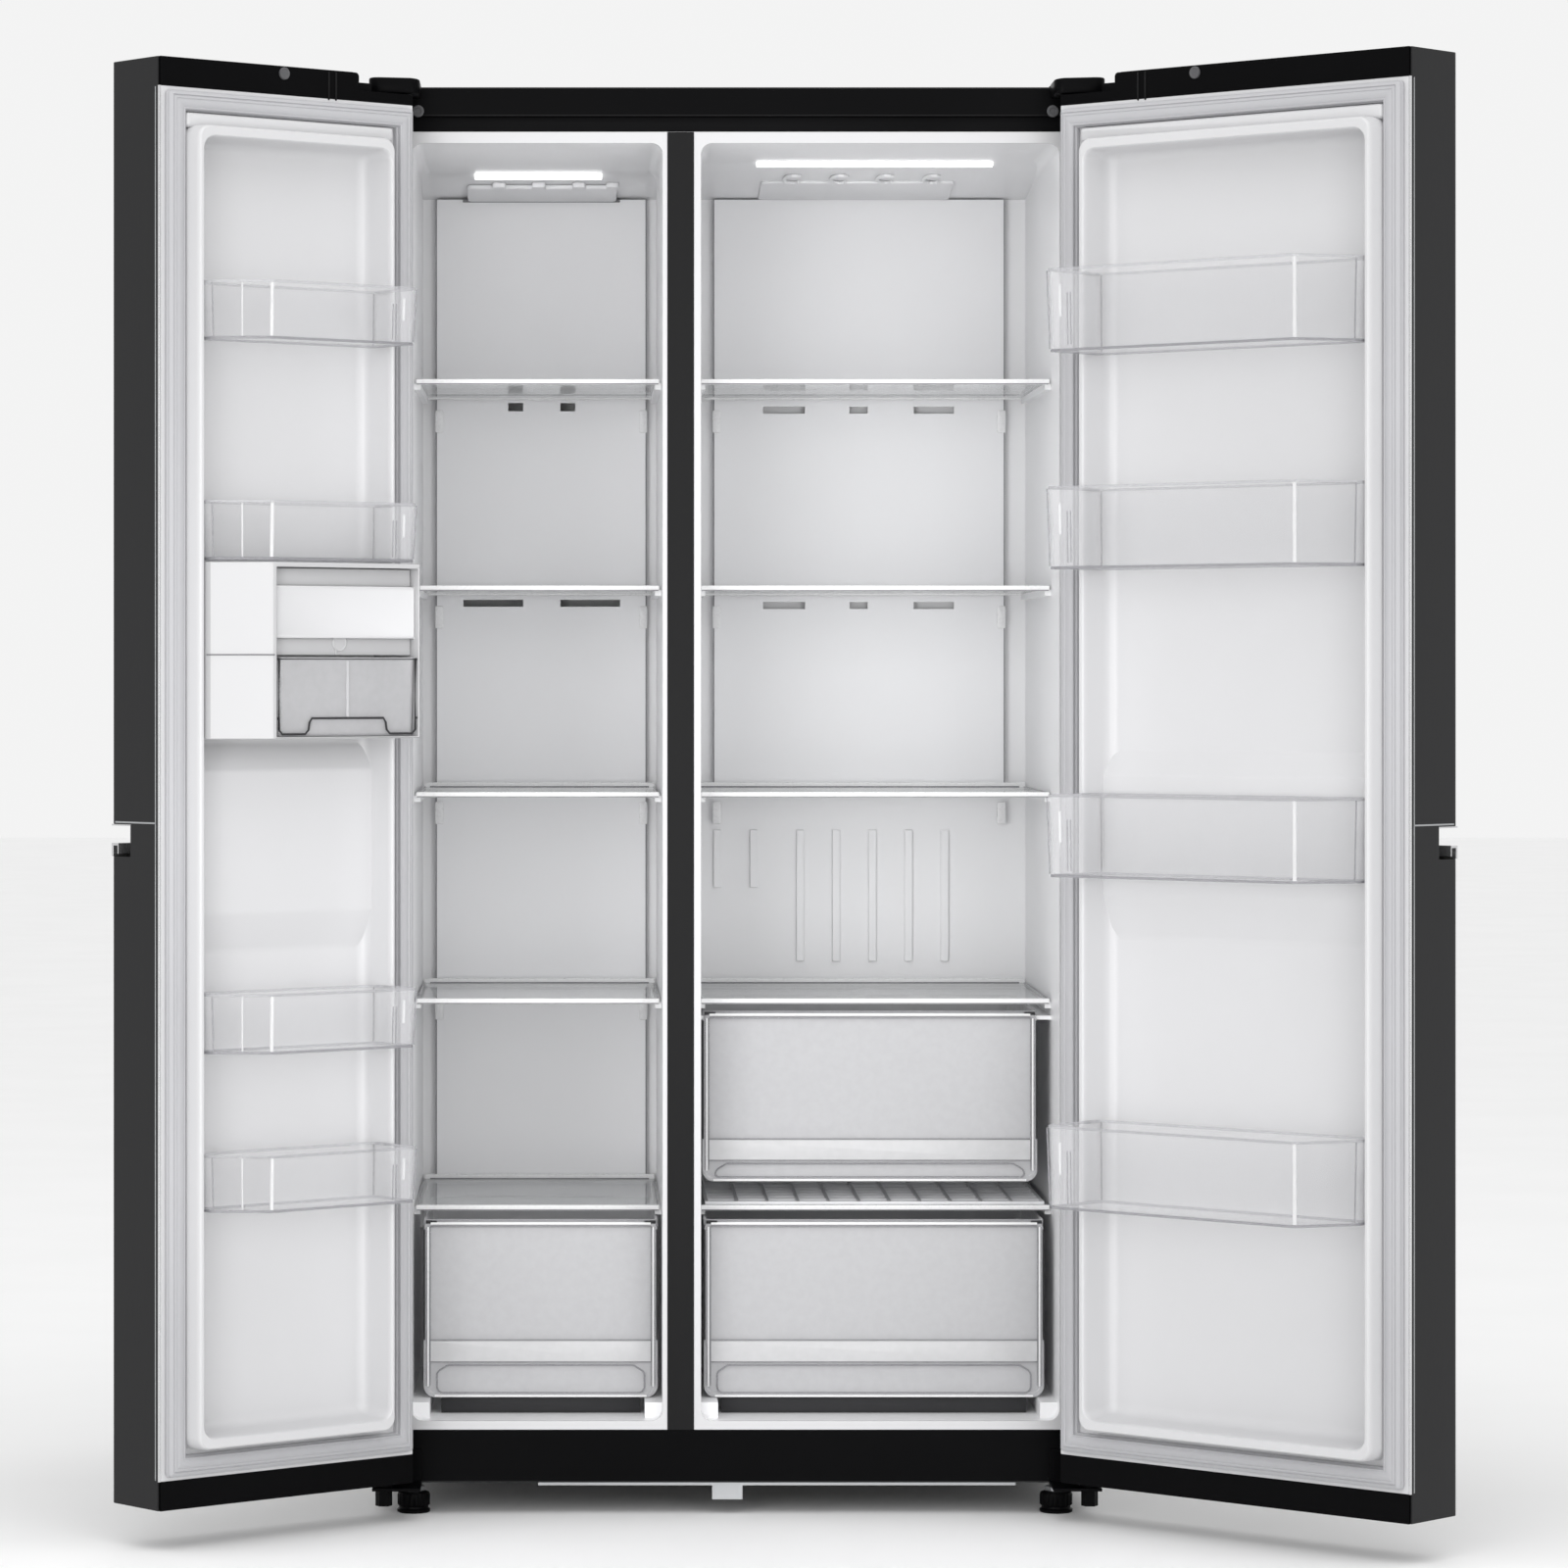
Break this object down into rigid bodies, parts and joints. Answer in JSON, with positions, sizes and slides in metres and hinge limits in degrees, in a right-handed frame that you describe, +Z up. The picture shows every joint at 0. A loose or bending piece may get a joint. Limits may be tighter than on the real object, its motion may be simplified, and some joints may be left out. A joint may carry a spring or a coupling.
{
  "type": "side by side refrigerator",
  "caption": "Tall side by side refrigerator with both doors open, showing glass shelves, clear drawers, door bins and an ice maker, in dark steel with white liners.",
  "frame": {"origin": "on the floor, at the middle of the outer box with both doors open", "axes": "+X to the right seen from the front, +Y to the rear, +Z up"},
  "size_m": [1.6098, 1.0718, 1.79],
  "materials": {
    "dark_steel": "satin",
    "galvanised_steel": "satin",
    "foam": "matte",
    "white_liner": "satin",
    "white_trim": "satin",
    "duct_plastic": "satin",
    "black_plastic": "satin",
    "dark_strip": "satin",
    "lamp_lens": "gloss",
    "glass": "polished",
    "grid_plastic": "satin",
    "black_steel": "satin",
    "copper": "satin",
    "aluminium_fins": "satin",
    "fan_plastic": "matte",
    "foot_plastic": "satin",
    "roller_rubber": "matte",
    "clear_plastic": "gloss",
    "frosted_plastic": "satin",
    "gasket": "matte",
    "bright_trim": "polished"
  },
  "bodies": {
    "cabinet": {"cabinet_shell": "dark_steel", "rear_panel": "galvanised_steel", "cabinet_foam": "foam", "freezer_liner": "white_liner", "fridge_liner": "white_liner", "top_rail": "black_plastic", "mullion_cover": "dark_strip", "base_beam": "black_plastic", "base_strip": "galvanised_steel", "freezer_air_duct": "duct_plastic", "fridge_air_duct": "duct_plastic", "interior_lamps": "lamp_lens", "shelf_glass": "glass", "shelf_trims": "white_trim", "crisper_grid": "grid_plastic", "upper_hinges": "galvanised_steel", "hinge_covers": "black_plastic", "lower_hinges": "black_steel", "compressor": "black_steel", "condenser_coil": "copper", "evaporator": "aluminium_fins", "fan_motors": "black_steel", "drain_pan": "black_plastic", "machine_room_cover": "black_steel", "power_inlet": "black_plastic", "roller_brackets": "galvanised_steel"},
    "freezer_door": {"freezer_door_skin": "dark_steel", "freezer_door_foam": "foam", "freezer_door_liner": "white_liner", "freezer_door_gasket": "gasket", "freezer_door_caps": "black_plastic", "freezer_door_recess": "black_plastic", "freezer_door_trim": "bright_trim", "freezer_door_bin_1": "clear_plastic", "freezer_door_bin_2": "clear_plastic", "freezer_door_bin_3": "clear_plastic", "freezer_door_bin_4": "clear_plastic", "ice_maker_housing": "white_trim"},
    "fridge_door": {"fridge_door_skin": "dark_steel", "fridge_door_foam": "foam", "fridge_door_liner": "white_liner", "fridge_door_gasket": "gasket", "fridge_door_caps": "black_plastic", "fridge_door_recess": "black_plastic", "fridge_door_trim": "bright_trim", "fridge_door_bin_1": "clear_plastic", "fridge_door_bin_2": "clear_plastic", "fridge_door_bin_3": "clear_plastic", "fridge_door_bin_4": "clear_plastic"},
    "freezer_drawer": {"freezer_drawer": "frosted_plastic"},
    "upper_crisper": {"upper_crisper": "frosted_plastic"},
    "lower_crisper": {"lower_crisper": "frosted_plastic"},
    "ice_tray": {"ice_tray": "clear_plastic"},
    "ice_bin": {"ice_bin": "clear_plastic"},
    "evaporator_fan": {"evaporator_fan": "fan_plastic"},
    "condenser_fan": {"condenser_fan": "fan_plastic"},
    "front_foot_left": {"front_foot_left": "foot_plastic"},
    "front_foot_right": {"front_foot_right": "foot_plastic"},
    "rear_roller_left": {"rear_roller_left": "roller_rubber"},
    "rear_roller_right": {"rear_roller_right": "roller_rubber"}
  },
  "joints": [
    {"name": "freezer_door_hinge", "type": "hinge", "parent": "cabinet", "child": "freezer_door", "pos_m": [-0.4822, -0.13711, 0.9], "axis": [0, 0, -1], "range_deg": [-140.4, 0]},
    {"name": "fridge_door_hinge", "type": "hinge", "parent": "cabinet", "child": "fridge_door", "pos_m": [0.3938, -0.13711, 0.9], "axis": [0, 0, 1], "range_deg": [-137.4, 0]},
    {"name": "freezer_drawer_slide", "type": "slide", "parent": "cabinet", "child": "freezer_drawer", "axis": [0, -1, 0], "range_m": [0, 0.27]},
    {"name": "upper_crisper_slide", "type": "slide", "parent": "cabinet", "child": "upper_crisper", "axis": [0, -1, 0], "range_m": [0, 0.27]},
    {"name": "lower_crisper_slide", "type": "slide", "parent": "cabinet", "child": "lower_crisper", "axis": [0, -1, 0], "range_m": [0, 0.27]},
    {"name": "ice_tray_twist", "type": "hinge", "parent": "freezer_door", "child": "ice_tray", "pos_m": [-0.55527, -0.30528, 1.125], "axis": [-0.7705, -0.6374, 0], "range_deg": [0, 160]},
    {"name": "ice_bin_slide", "type": "slide", "parent": "freezer_door", "child": "ice_bin", "axis": [0.6374, -0.7705, 0], "range_m": [0, 0.08]},
    {"name": "evaporator_fan_spin", "type": "hinge", "parent": "cabinet", "child": "evaporator_fan", "pos_m": [-0.2902, 0.45789, 1], "axis": [0, -1, 0], "continuous": true},
    {"name": "condenser_fan_spin", "type": "hinge", "parent": "cabinet", "child": "condenser_fan", "pos_m": [-0.0342, 0.42589, 0.155], "axis": [-1, 0, 0], "continuous": true},
    {"name": "front_foot_left_turn", "type": "hinge", "parent": "cabinet", "child": "front_foot_left", "pos_m": [-0.4472, -0.05911, 0.016], "axis": [0, 0, 1], "continuous": true},
    {"name": "front_foot_right_turn", "type": "hinge", "parent": "cabinet", "child": "front_foot_right", "pos_m": [0.3588, -0.05911, 0.016], "axis": [0, 0, 1], "continuous": true},
    {"name": "rear_roller_left_roll", "type": "hinge", "parent": "cabinet", "child": "rear_roller_left", "pos_m": [-0.4442, 0.47589, 0.019], "axis": [1, 0, 0], "continuous": true},
    {"name": "rear_roller_right_roll", "type": "hinge", "parent": "cabinet", "child": "rear_roller_right", "pos_m": [0.3558, 0.47589, 0.019], "axis": [1, 0, 0], "continuous": true}
  ]
}
